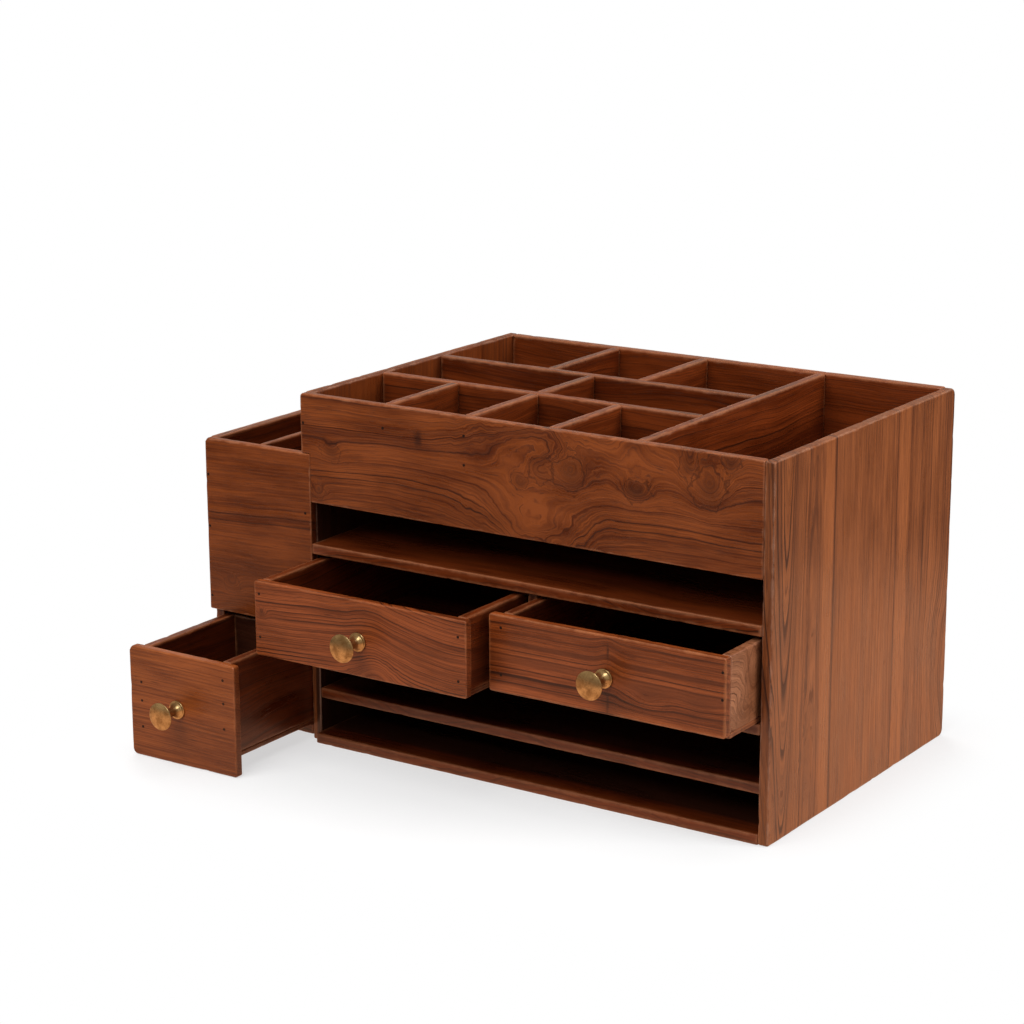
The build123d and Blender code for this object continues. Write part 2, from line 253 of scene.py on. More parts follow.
def kinds(values: str = "", vectors: str = "", colours: str = "") -> dict[str, Kind]:
    """Give the kind of each socket that is named in three lists."""
    lists = {Kind.VALUE: values, Kind.VECTOR: vectors, Kind.COLOUR: colours}
    return {name: kind for kind, names in lists.items() for name in names.split()}


class Effect:
    """A shader node group that several materials share, built once at its first use."""

    takes: dict[str, Kind] = {}
    gives: dict[str, Kind] = {}

    @cached_property
    def tree(self) -> bpy.types.NodeTree:
        """The group's tree with its named sockets."""
        tree = bpy.data.node_groups.new(type(self).__name__, "ShaderNodeTree")
        for way, sockets in (("INPUT", self.takes), ("OUTPUT", self.gives)):
            for name, kind in sockets.items():
                tree.interface.new_socket(name=name, in_out=way, socket_type=kind.value)
        given = dict(tree.nodes.new("NodeGroupInput").outputs.items())
        result = tree.nodes.new("NodeGroupOutput").inputs
        for name, socket in self.wire(NodeSheet(tree), given).items():
            tree.links.new(socket, result[name])
        return tree

    def wire(self, sheet: NodeSheet, given: Sockets) -> Sockets:
        """Wire the group.

        Args:
            sheet: The group's tree.
            given: The group's inputs.

        Returns:
            What goes to each output.
        """
        raise NotImplementedError

    def place(self, sheet: NodeSheet, **feeds: Feed) -> Sockets:
        """Put the group in a material.

        Args:
            sheet: The material's tree.
            feeds: What goes into the group's inputs. Other names are passed over.

        Returns:
            The group node's outputs.
        """
        taken = {name: feeds[name] for name in self.takes}
        return dict(sheet.add("ShaderNodeGroup", taken, node_tree=self.tree).outputs.items())


class KnotSwell(Effect):
    """A knot or swell that bends the rings round it.

    The distance from the centre is counted in reaches, and made uneven by noise. The lift is e to the minus distance
    squared, times the height less the spread times the way across plus the slant times the way along. Height gives
    closed rings, spread parts the rings to both sides, and slant makes them lean. The heart is a dark core with a
    thin, ragged rim. Calm is how far lines fade there.
    """

    takes = kinds("height spread slant dark calm", "grain centre shrink")
    gives = kinds("lift heart calm")
    unevenness = (1.2, 3.0, 0.55)
    uneven_lift, uneven_rim = 0.6, 1.5
    core, rim_inside, rim_outside, calmed = (1.0, 0.15), (0.82, 0.92), (1.02, 0.95), (1.3, 0.5)
    rim_height, rim_dark, rim_share = (4.0, 9.0), (0.0, 0.4), 0.7

    def wire(self, sheet: NodeSheet, given: Sockets) -> Sockets:
        """Wire the knot's lift, and its dark heart with a thin rim.

        Args:
            sheet: The group's tree.
            given: The group's inputs.

        Returns:
            The lift, the heart and the calm.
        """
        offset = sheet.vector("MULTIPLY", sheet.vector("SUBTRACT", given["grain"], given["centre"]), given["shrink"])
        uneven = sheet.noise(sheet.vector("ADD", offset, given["centre"]), *self.unevenness)
        reaches = sheet.measure("LENGTH", offset)
        distance, ragged = (sheet.times(reaches, sheet.total(sheet.swing(uneven, amount), 1.0))
                            for amount in (self.uneven_lift, self.uneven_rim))
        fall = sheet.math("EXPONENT", sheet.times(distance, distance, -1.0))
        along, across, _ = sheet.split(offset)
        height = sheet.total(sheet.minus(given["height"], sheet.times(across, given["spread"])),
                             sheet.times(along, given["slant"]))
        core = sheet.times(sheet.step(ragged, *self.core), given["dark"])
        rim = sheet.times(sheet.step(ragged, *self.rim_inside), sheet.step(ragged, *self.rim_outside),
                          sheet.step(given["height"], *self.rim_height), sheet.step(given["dark"], *self.rim_dark),
                          self.rim_share)
        return {"lift": sheet.times(fall, height), "heart": sheet.larger(core, rim),
                "calm": sheet.times(sheet.step(distance, *self.calmed), given["calm"])}


class GrowthRings(Effect):
    """Late-wood lines and broad bands of one board.

    The flow is the way across the board, plus a tilt through it, a slow sway, a small wobble and the lift from
    knots. The ring count is the flow over the ring width, made uneven. Each ring darkens slowly and ends in a thin
    line of the given thickness, some rings more than others. Finer lines lie between.
    """

    takes = kinds("lift ring_width sway wobble tilt thickness", "grain seed")
    gives = kinds("line band flow")
    swaying, wobbling = ((0.006, 0.011, 0.011), 1.0, 0.4), ((0.02, 0.035, 0.035), 3.0, 0.45)
    patches, uneven_rings, banding = ((0.01, 0.05, 0.05), 2.0), 0.9, (0.37, 1.0)
    line_rise, line_end, slope_power, slope_share = (1.0, 0.35), (1.0, 0.96), 2.5, 0.36
    strong_patch, strong_share, weak_share = (0.2, 0.55), 0.6, 0.4
    fine_count, fine_rise, fine_end, fine_patch, fine_share = 3.7, (0.5, 0.9), (1.0, 0.92), (0.75, 0.4), 0.5
    band_edge = (0.25, 0.75)

    def wire(self, sheet: NodeSheet, given: Sockets) -> Sockets:
        """Wire the lines, the bands and the flow that the fibre follows.

        Args:
            sheet: The group's tree.
            given: The group's inputs.

        Returns:
            The lines, the bands and the flow.
        """
        point = sheet.vector("ADD", given["grain"], given["seed"])
        _, across, through = sheet.split(given["grain"])
        start = sheet.split(given["seed"])[1]
        sway = sheet.swing(sheet.noise(point, *self.swaying), given["sway"])
        wobble = sheet.swing(sheet.noise(point, *self.wobbling), given["wobble"])
        flow = sheet.total(across, sheet.times(through, given["tilt"]), sway, wobble, given["lift"])
        turn = sheet.math("DIVIDE", sheet.total(flow, start), given["ring_width"])
        ring = sheet.total(turn, sheet.swing(sheet.line_noise(turn, self.uneven_rings), 1.0))
        share = sheet.math("FRACT", ring)
        left = sheet.times(sheet.minus(1.0, share), given["ring_width"])
        thin = sheet.times(sheet.step(sheet.math("DIVIDE", left, given["thickness"]), *self.line_rise),
                           sheet.step(share, *self.line_end))
        slope = sheet.times(sheet.math("POWER", share, self.slope_power), self.slope_share)
        picked = sheet.add("ShaderNodeTexWhiteNoise", {"W": sheet.math("FLOOR", ring)}, noise_dimensions="1D")
        patchy = sheet.noise(point, *self.patches)
        strength = sheet.times(picked.outputs["Value"], sheet.step(patchy, *self.strong_patch), self.strong_share)
        main = sheet.times(sheet.larger(thin, slope), sheet.total(strength, self.weak_share))
        part = sheet.math("FRACT", sheet.times(ring, self.fine_count))
        fine = sheet.times(sheet.step(part, *self.fine_rise), sheet.step(part, *self.fine_end),
                           sheet.step(patchy, *self.fine_patch), self.fine_share)
        band = sheet.step(sheet.line_noise(turn, *self.banding), *self.band_edge)
        return {"line": sheet.larger(main, fine), "band": band, "flow": flow}


class WoodFibre(Effect):
    """Fibre, pores and cloudy colour: noise that is long along the grain and narrow across it."""

    takes = kinds("flow", "grain seed")
    gives = kinds("fibre pores mottle")
    fibres, dashes, clouds = ((0.022, 0.75, 0.75), 4.0, 0.6), ((0.08, 1.5, 1.5), 1.0), ((0.014, 0.04, 0.04), 3.0, 0.55)
    soft_edge, pore_edge = (0.25, 0.75), (0.64, 0.74)

    def wire(self, sheet: NodeSheet, given: Sockets) -> Sockets:
        """Wire fibre and pores that follow the flow of the rings, and colour that does not.

        Args:
            sheet: The group's tree.
            given: The group's inputs.

        Returns:
            The fibre, the pores and the cloudy colour.
        """
        point = sheet.vector("ADD", given["grain"], given["seed"])
        along, _, through = sheet.split(point)
        bent = sheet.join(along, given["flow"], through)
        return {"fibre": sheet.step(sheet.noise(bent, *self.fibres), *self.soft_edge),
                "pores": sheet.step(sheet.noise(bent, *self.dashes), *self.pore_edge),
                "mottle": sheet.step(sheet.noise(point, *self.clouds), *self.soft_edge)}


class WornEdge(Effect):
    """Rubbed arrises of a board, whose worn colour is also painted highlight on the rims.

    The middle one of the three distances to the board's box is the way to the nearest arris. Noise makes the rub
    ragged along it.
    """

    takes = kinds("reach", "place low high")
    gives = kinds("wear")
    raggedness, ragged_reach = (0.09, 4.0, 0.65), 5.0

    def wire(self, sheet: NodeSheet, given: Sockets) -> Sockets:
        """Wire the distance to the nearest arris and the ragged rub.

        Args:
            sheet: The group's tree.
            given: The group's inputs.

        Returns:
            How far each place is worn.
        """
        from_low = sheet.vector("SUBTRACT", given["place"], given["low"])
        from_high = sheet.vector("SUBTRACT", given["high"], given["place"])
        x, y, z = sheet.split(sheet.vector("MINIMUM", from_low, from_high))
        middle = sheet.larger(sheet.math("MINIMUM", x, y), sheet.math("MINIMUM", sheet.larger(x, y), z))
        ragged = sheet.swing(sheet.noise(given["place"], *self.raggedness), self.ragged_reach)
        return {"wear": sheet.step(sheet.minus(middle, ragged), given["reach"], 0.0)}


class TeakTone(Effect):
    """Colour, roughness and height of oiled teak from its masks."""

    takes = kinds("line band fibre pores mottle wear heart end tone lines cloud", colours="body pale late worn")
    gives = kinds("roughness height", colours="color")
    band_share, tone_share, fibre_share = 0.5, 1.2, 0.8
    dark_tone, dark_share, wear_share = (0.3, 0.1), 0.7, 0.4
    darkens = {"heart": 0.75, "pores": 0.5, "end": 0.3}
    polish, uneven_polish, roughens = 0.31, 0.14, {"line": 0.12, "pores": 0.15, "end": 0.12}
    raises = {"fibre": 0.35, "line": -0.4, "pores": -0.5}

    def wire(self, sheet: NodeSheet, given: Sockets) -> Sockets:
        """Wire pale and dark wood by the bands, then dark tones, lines, heart, pores, end grain and wear over it.
        The worn colour also paints highlight on the rims.

        Args:
            sheet: The group's tree.
            given: The group's inputs.

        Returns:
            The colour, the roughness and the height.
        """
        pale = sheet.total(0.5, sheet.swing(given["band"], sheet.times(given["lines"], self.band_share)),
                           sheet.swing(given["mottle"], given["cloud"]), sheet.swing(given["tone"], self.tone_share),
                           sheet.swing(given["fibre"], self.fibre_share))
        wood = sheet.blend(pale, given["body"], given["pale"])
        dark = sheet.times(sheet.step(given["tone"], *self.dark_tone), self.dark_share)
        for share in (dark, sheet.times(given["line"], given["lines"]), *self.shares(sheet, given, self.darkens)):
            wood = sheet.blend(share, wood, given["late"])
        # The worn colour is rubbed wood and also painted highlight on the rims.
        wood = sheet.blend(sheet.times(given["wear"], self.wear_share), wood, given["worn"])
        rough = sheet.total(self.polish, sheet.swing(given["mottle"], self.uneven_polish),
                            *self.shares(sheet, given, self.roughens))
        return {"color": wood, "roughness": rough, "height": sheet.total(*self.shares(sheet, given, self.raises))}

    def shares(self, sheet: NodeSheet, given: Sockets, parts: dict[str, float]) -> list[Socket]:
        """Give each named mask times its share."""
        return [sheet.times(given[mask], share) for mask, share in parts.items()]


KNOT_SWELL = KnotSwell()
GROWTH_RINGS = GrowthRings()
WOOD_FIBRE = WoodFibre()
WORN_EDGE = WornEdge()
TEAK_TONE = TeakTone()


@dataclass(frozen=True)
class Knot:
    """A knot or swell in a board, placed along and across the grain."""

    along: float
    across: float
    reach: tuple[float, float]
    height: float = 0.0
    dark: float = 0.0
    spread: float = 0.0
    slant: float = 0.0
    calm: float = 0.0


Knots = tuple[Knot, ...]


@dataclass(frozen=True)
class TeakFinish:
    """One lot of oiled teak: its linear colours, the run of its rings, its rubbed edge and its cloudiness.
    Its worn colour is rubbed wood and also painted highlight on the rims.
    """

    body: Colour
    pale: Colour
    late: Colour
    worn: Colour
    ring_width: float
    sway: float
    wobble: float
    lines: float
    thickness: float = 1.0
    rub: float = 1.6
    tilt: float = 0.35
    cloud: float = 0.65


FACING_TEAK = TeakFinish((0.118, 0.0200, 0.0022), (0.31, 0.068, 0.0095), (0.030, 0.0065, 0.0025), (0.50, 0.19, 0.085),
                         ring_width=7.0, sway=8.0, wobble=5.0, lines=0.95)
PEN_TEAK = replace(FACING_TEAK, body=(0.115, 0.020, 0.0022), pale=(0.28, 0.059, 0.0065), ring_width=4.5, sway=6.0,
                   wobble=3.0, lines=0.55)
# The drawers' lots are paler and pinker than the apron's, partly their own tone and partly painted sheen of the
# floor's reflection.
DRAWER_TEAK = TeakFinish((0.160, 0.0290, 0.0045), (0.385, 0.085, 0.018), (0.040, 0.0075, 0.002), (0.44, 0.14, 0.045),
                         ring_width=3.0, sway=5.0, wobble=2.6, lines=1.1, cloud=0.45)
BANDED_TEAK = replace(DRAWER_TEAK, worn=(0.58, 0.20, 0.07), rub=2.2, ring_width=6.5, wobble=2.0, thickness=2.4,
                      lines=1.2)
SIDE_TEAK = replace(DRAWER_TEAK, pale=(0.385, 0.092, 0.016), ring_width=2.6, wobble=1.6, lines=0.5)
BURL_TEAK = TeakFinish((0.17, 0.052, 0.018), (0.40, 0.155, 0.070), (0.06, 0.016, 0.006), (0.44, 0.19, 0.11),
                       ring_width=4.0, sway=30.0, wobble=9.0, lines=0.95)
# The panel lot is paler and greyer than the apron's, partly its own tone and partly painted sheen.
PANEL_TEAK = TeakFinish((0.150, 0.040, 0.012), (0.37, 0.108, 0.029), (0.055, 0.015, 0.006), (0.43, 0.22, 0.14),
                        ring_width=4.5, sway=6.0, wobble=2.0, lines=1.0, thickness=1.4, tilt=0.5, cloud=0.3)
# The panel lot made darker as painted shade, for the left panel's inner faces.
PANEL_PAINTED_SHADE_TEAK = replace(PANEL_TEAK, body=(0.090, 0.017, 0.0035), pale=(0.21, 0.046, 0.009))
# The lot below is dark as painted shade on the boards inside the case and the drawers.
INNER_PAINTED_SHADE_TEAK = TeakFinish((0.085, 0.0130, 0.0024), (0.200, 0.037, 0.0066), (0.028, 0.006, 0.002), (0.50, 0.19, 0.080),
                        ring_width=6.0, sway=30.0, wobble=4.0, lines=1.1, rub=3.0)
# A still darker lot, painted deep shade in the slots, under the tray and on the side drawer's back.
DEEP_PAINTED_SHADE_TEAK = replace(INNER_PAINTED_SHADE_TEAK, body=(0.022, 0.0062, 0.0030), pale=(0.050, 0.0145, 0.0068))


def rounded_outline(corners: np.ndarray, radii: np.ndarray, spacing: float) -> np.ndarray:
    """Walk counter-clockwise round a polygon with right-angled, rounded corners.

    A corner gives an arc of normals, cosine times the normal before plus sine times the normal after, on an anchor
    at the corner. A side gives evenly spaced anchors with its own normal. The point at an inset from the outline is
    the anchor, less the inset plus what is left of the bulge times the pull, plus what is left times the normal.

    Args:
        corners: The polygon's corners, one a row.
        radii: The rounding of each corner.
        spacing: Distance between points on the sides.

    Returns:
        A row for each point: anchor, pull, normal and bulge, which is the corner's radius, less than 0 if hollow.
    """
    sides = np.roll(corners, -1, axis=0) - corners
    lengths = np.linalg.norm(sides, axis=1)
    ways = sides / lengths[:, None]
    normals = np.column_stack((ways[:, 1], -ways[:, 0]))
    angle = np.linspace(0.0, pi / 2, CORNER_POINTS)[:, None]
    rows = []
    for i, corner in enumerate(corners):
        before, after = normals[i - 1], normals[i]
        turned = np.cos(angle) * before + np.sin(angle) * after
        bulge = radii[i] * np.sign(before[0] * after[1] - before[1] * after[0])
        rows.append(np.hstack((np.tile(np.hstack((corner, before + after)), (len(angle), 1)), turned,
                               np.full((len(angle), 1), bulge))))
        start, end = radii[i], lengths[i] - radii[(i + 1) % len(corners)]
        count = max(LEAST_SPANS, round((end - start) / spacing))
        way = start + (end - start) * np.arange(1, count)[:, None] / count
        rows.append(np.hstack((corner + way * ways[i], np.tile(np.hstack((after, after, 0.0)), (count - 1, 1)))))
    return np.vstack(rows)


def worn_rounding(outline: np.ndarray, arris: float, rim: float, up: tuple[float, float], seed: int) -> np.ndarray:
    """Work out how far an arris is rounded at each point of an outline.

    The radius goes from the arris to the rim where the normal points up. It swells and shrinks by three sine waves
    that close round the outline, and where the two short ones peak together there is a nick.

    Args:
        outline: Rows from rounded_outline.
        arris: The usual radius.
        rim: The radius along the top.
        up: Which way is up in the outline's plane, or zeros.
        seed: Picks the waves' starts.

    Returns:
        The radius at each point.
    """
    walked = np.linalg.norm(np.diff(outline[:, :2], axis=0, append=outline[:1, :2]), axis=1)
    turn = 2.0 * pi * np.cumsum(walked) / walked.sum()
    counts = np.maximum(1.0, np.round(walked.sum() / np.array(WAVE_LENGTHS)))
    waves = np.sin(np.outer(counts, turn) + seed * np.array(WAVE_STARTS)[:, None])
    nick = np.clip(waves[1] * waves[2], 0.0, 1.0) ** NICK_POWER
    plain = arris + (rim - arris) * np.clip(outline[:, 4:6] @ np.array(up), 0.0, 1.0)
    return plain * (STEADY_SHARE + np.array(WAVE_SHARES) @ waves + NICK_SHARE * nick)


def ring_quads(rings: int, count: int) -> np.ndarray:
    """Give the faces between rings of points: each is a point, the next ring's two and the point beside it.

    Args:
        rings: How many rings there are, one after the other.
        count: How many points each closed ring has.

    Returns:
        Four point numbers a row.
    """
    here = np.arange((rings - 1) * count)
    beside = here - here % count + (here + 1) % count
    return np.column_stack((here, here + count, beside + count, beside))


def new_piece(name: str, points: np.ndarray, faces: list[list[int]]) -> Piece:
    """Make a smooth object and put it in the scene.

    Args:
        name: Name of the new object.
        points: Its points in metres, one a row.
        faces: The point numbers of each face.

    Returns:
        The new object.
    """
    mesh = bpy.data.meshes.new(name)
    mesh.from_pydata(points.tolist(), [], faces)
    mesh.shade_smooth()
    mesh.update()
    made = bpy.data.objects.new(name, mesh)
    bpy.context.scene.collection.objects.link(made)
    return made


def worn_slab(name: str, outline: np.ndarray, rounding: tuple[np.ndarray, np.ndarray], limits: tuple[float, float],
              order: tuple[int, int, int]) -> Piece:
    """Carry a worn edge section round an outline and close it with two flat faces.

    The section's inset is the rounding times 1 less the sine of an angle, and its drop from the face the rounding
    times 1 less the cosine. It goes from just inside one face, over its arris, down the edge and over the other.

    Args:
        name: Name of the new object.
        outline: Rows from rounded_outline.
        rounding: Radius of the lower and the upper arris at each point.
        limits: Lower and upper face on the axis through the board.
        order: Axes along, across and through the board.

    Returns:
        The new object.
    """
    angle = np.radians(np.linspace(0.0, 90.0, ARRIS_POINTS))[:, None]
    insets, levels = [], []
    for side, inward in ((1, -1), (0, 1)):
        radius = rounding[side]
        inset = np.vstack((radius + FACE_MARGIN, radius * (1.0 - np.sin(angle))))
        level = limits[side] + inward * np.vstack((np.zeros_like(radius), radius * (1.0 - np.cos(angle))))
        insets.append(inset[::-inward])
        levels.append(level[::-inward])
    inset, level = np.vstack(insets), np.vstack(levels)
    bulge = outline[:, 6]
    rest = np.where(bulge > 0.0, np.maximum(bulge - inset, LEAST_BULGE), bulge - inset)[..., None]
    points = np.empty((*inset.shape, 3))
    flat = outline[:, :2] - (inset[..., None] + rest) * outline[:, 2:4] + rest * outline[:, 4:6]
    points[..., list(order[:2])] = flat
    points[..., order[2]] = level
    rings, count = inset.shape
    upper, lower = np.arange(count), np.arange(count)[::-1] + (rings - 1) * count
    mirrored = 1 if order in ((0, 1, 2), (1, 2, 0), (2, 0, 1)) else -1
    quads, upper, lower = (part[..., ::mirrored].tolist() for part in (ring_quads(rings, count), upper, lower))
    return new_piece(name, points.reshape(-1, 3) * MM, quads + [upper, lower])


@dataclass(frozen=True)
class Change:
    """Where a board's colours go over to another lot's: an axis of the frame, and from which place to which.
    It places painted shade: a darker lot in recesses and on inner faces, a lighter one on outer faces.
    """

    finish: TeakFinish
    axis: int
    start: float
    end: float


def outer_side(node: str, finish: TeakFinish, axis: int, way: int) -> Change:
    """Change to an outer side's lighter lot at half a board's thickness, where way is 1 or -1 for out on the axis.
    The inner side keeps its lot of painted shade.
    """
    middle = sum(corner[axis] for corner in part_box(node)) / 2 / MM
    return Change(finish, axis, middle - way, middle + way)


@dataclass
class Board:
    """One board: its CAD node, the run of its grain, its lot of teak, its own figure, its wear and its painted shade.

    Strips are places across the grain, each with a tone and a share of the lines, and joints are where planks are
    glued. A followed strip bends with the rings. Corners are rounded from the low, low one counter-clockwise.
    """

    node: str
    grain: Grain
    finish: TeakFinish
    seed: int
    knots: Knots = ()
    tone: float = 0.5
    strips: Strips = ()
    followed: bool = False
    joints: tuple[float, ...] = ()
    body: str = "case"
    corners: tuple[float, float, float, float] = (1.4, 1.4, 1.4, 1.4)
    notch: tuple[float, float] | None = None
    arris: float = 1.0
    rim: float = 1.6
    painted_shade_changes: tuple[Change, ...] = ()
    grain_depth: float = 0.0004
    piece: Piece | None = field(default=None, init=False)

    def build(self) -> None:
        """Make the worn board in place of its CAD node."""
        order = self.grain.value
        low, high = (np.array(corner)[list(order)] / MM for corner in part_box(self.node))
        corners = np.array([low[:2], (high[0], low[1]), high[:2], (low[0], high[1])])
        radii = np.array(self.corners)
        if self.notch:
            inner = low[:2] + np.array(self.notch)
            corners = np.vstack(([(inner[0], low[1])], corners[1:], [(low[0], inner[1]), inner]))
            radii = np.hstack((radii, radii[0], radii[0]))
        outline = rounded_outline(corners, radii, SIDE_SPACING)
        up = tuple(1.0 if axis == 2 else 0.0 for axis in order[:2])
        limit = ARRIS_LIMIT * (high[2] - low[2])
        rounding = tuple(np.minimum(worn_rounding(outline, self.arris, self.rim, up, self.seed + side), limit)
                         for side in (0, UPPER_SEED))
        self.piece = worn_slab(f"{self.node}_worn", outline, rounding, (low[2], high[2]), order)
        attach(self.piece, self.body)
        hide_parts(self.node)

    def dress(self) -> None:
        """Give the board its teak."""
        self.piece.data.materials.append(self.material())
        log.info("board %s: %s", self.piece.name, self.grain.name.lower())

    def strip_tone(self, sheet: NodeSheet, across: Socket) -> tuple[Feed, Feed]:
        """Give the tone and the share of lines across a board with strips.

        Args:
            sheet: The material's tree.
            across: The way across the grain, or the flow.

        Returns:
            The plain tone and all lines, or a ramp over the places, tones and shares of the strips.
        """
        if not self.strips:
            return self.tone, 1.0
        first, last = self.strips[0][0], self.strips[-1][0]
        share = sheet.math("DIVIDE", sheet.minus(across, first), last - first)
        node = sheet.add("ShaderNodeValToRGB", {"Fac": share})
        elements = node.color_ramp.elements
        for place, *values in self.strips[1:-1]:
            elements.new((place - first) / (last - first)).color = (*values, 0.0, 1.0)
        for end in (0, -1):
            elements[end].color = (*self.strips[end][1:], 0.0, 1.0)
        return tuple(sheet.split(node.outputs["Color"])[:2])

    def plank_seed(self, sheet: NodeSheet, across: Socket) -> Feed:
        """Give the board's seed, moved on at each glued joint.

        Args:
            sheet: The material's tree.
            across: The way across the grain.

        Returns:
            The seed, one and the same all over a board without joints.
        """
        seed = tuple(self.seed * step for step in SEED_STEP)
        if not self.joints:
            return seed
        planks = sheet.total(*(sheet.math("GREATER_THAN", across, joint) for joint in self.joints))
        return sheet.vector("MULTIPLY_ADD", sheet.join(planks, planks, planks), PLANK_STEP, seed)

    def colours(self, sheet: NodeSheet, axes: list[Socket]) -> tuple[Feed, Feed]:
        """Give the body and pale colours with the board's changes of lot for painted shade.

        Args:
            sheet: The material's tree.
            axes: The three parts of the place on the board.

        Returns:
            The body colour and the pale colour.
        """
        body, pale = self.finish.body, self.finish.pale
        for change in self.painted_shade_changes:
            share = sheet.step(axes[change.axis], change.start, change.end)
            body = sheet.blend(share, body, change.finish.body)
            pale = sheet.blend(share, pale, change.finish.pale)
        return body, pale

    def material(self) -> Material:
        """Wire the board's teak from the shared effects.

        Returns:
            The board's own material.
        """
        made, sheet = new_material(f"teak_{self.node}")
        place = sheet.place()
        normal = sheet.add("ShaderNodeTexCoord").outputs["Normal"]
        low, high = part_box(self.node)
        axes = sheet.split(place)
        order = self.grain.value
        face = (high if self.grain is Grain.UPRIGHT_SIDE else low)[order[2]] / MM
        across = axes[order[1]]
        grain = sheet.join(axes[order[0]], across, sheet.minus(axes[order[2]], face))
        seed = self.plank_seed(sheet, across)
        lift, heart, calm = 0.0, 0.0, 0.0
        for knot in self.knots:
            swell = KNOT_SWELL.place(sheet, **vars(knot), grain=grain, centre=(knot.along, knot.across, 0.0),
                                     shrink=(1 / knot.reach[0], 1 / knot.reach[1], 0.0))
            lift = sheet.total(swell["lift"], lift)
            heart = sheet.larger(swell["heart"], heart)
            calm = sheet.larger(swell["calm"], calm)
        lot = self.finish
        rings = GROWTH_RINGS.place(sheet, **vars(lot), grain=grain, seed=seed, lift=lift)
        fibre = WOOD_FIBRE.place(sheet, grain=grain, seed=seed, flow=rings["flow"])
        edge = WORN_EDGE.place(sheet, place=place, low=tuple(low / MM), high=tuple(high / MM), reach=lot.rub)
        axis = tuple(1.0 if i == order[0] else 0.0 for i in range(3))
        end = sheet.step(sheet.math("ABSOLUTE", sheet.measure("DOT_PRODUCT", normal, axis)), *END_GRAIN)
        strip, share = self.strip_tone(sheet, rings["flow"] if self.followed else across)
        left = sheet.minus(1.0, calm)
        strip = sheet.total(sheet.times(sheet.minus(strip, self.tone), left), self.tone)
        body, pale = self.colours(sheet, axes)
        tone = TEAK_TONE.place(sheet, **rings, **fibre, **edge, heart=heart, end=end, tone=strip, cloud=lot.cloud,
                               lines=sheet.times(share, left, lot.lines), body=body, pale=pale, late=lot.late,
                               worn=lot.worn)
        sheet.surface(tone["color"], tone["roughness"], tone["height"], self.grain_depth)
        return made


@dataclass(frozen=True)
class BrassFinish:
    """Satin brass that was turned, then handled: linear colours, noises, edges and shares of its dulling."""

    bright: Colour = (0.60, 0.44, 0.21)
    tarnish: Colour = (0.27, 0.165, 0.065)
    marks, clouds, spots = ((5.0, 5.0, 0.25), 3.0, 0.6), (0.16, 4.0, 0.6), (0.9, 2.0)
    cloud_edge, spot_edge = (0.35, 0.7), (0.62, 0.75)
    dull_base, dull_clouds, dull_spots, dull_marks = 0.06, 0.8, 0.6, 0.8
    polish, rough_marks, rough_dull, mark_depth = 0.29, 0.25, 0.16, 0.0001

    def material(self) -> Material:
        """Wire lathe marks by the knob's own turning attribute and cloudy tarnish by place.

        Returns:
            The brass.
        """
        made, sheet = new_material("turned_brass")
        place = sheet.place()
        marks = sheet.noise(sheet.add("ShaderNodeAttribute", attribute_name="turning").outputs["Vector"], *self.marks)
        cloud = sheet.step(sheet.noise(place, *self.clouds), *self.cloud_edge)
        spots = sheet.step(sheet.noise(place, *self.spots), *self.spot_edge)
        dull = sheet.total(sheet.times(cloud, self.dull_clouds), sheet.times(spots, self.dull_spots),
                           sheet.swing(marks, self.dull_marks), self.dull_base)
        rough = sheet.total(self.polish, sheet.swing(marks, self.rough_marks), sheet.times(dull, self.rough_dull))
        sheet.surface(sheet.blend(dull, self.bright, self.tarnish), rough, marks, self.mark_depth, 1.0)
        return made


@dataclass(frozen=True)
class SteelFinish:
    """Blackened steel of nails and screws, with blotches of rust."""

    dark: Colour = (0.012, 0.011, 0.012)
    rust: Colour = (0.05, 0.026, 0.016)
    blotches, rust_edge, blotch_depth = (1.3, 3.0, 0.6), (0.45, 0.7), 0.0002
    polish, uneven_polish, metallic = 0.45, 0.4, 0.6

    def material(self) -> Material:
        """Wire blotchy rust on dark metal.

        Returns:
            The steel.
        """
        made, sheet = new_material("blackened_steel")
        blotch = sheet.noise(sheet.place(), *self.blotches)
        color = sheet.blend(sheet.step(blotch, *self.rust_edge), self.dark, self.rust)
        rough = sheet.total(self.polish, sheet.swing(blotch, self.uneven_polish))
        sheet.surface(color, rough, blotch, self.blotch_depth, self.metallic)
        return made


def arc(centre: tuple[float, float], radius: float, start: float, end: float, count: int) -> np.ndarray:
    """Sample a profile's arc: the centre plus the radius times cosine and sine of angles evenly from start to end."""
    angle = np.radians(np.linspace(start, end, count))
    return np.column_stack((centre[0] + radius * np.cos(angle), centre[1] + radius * np.sin(angle)))


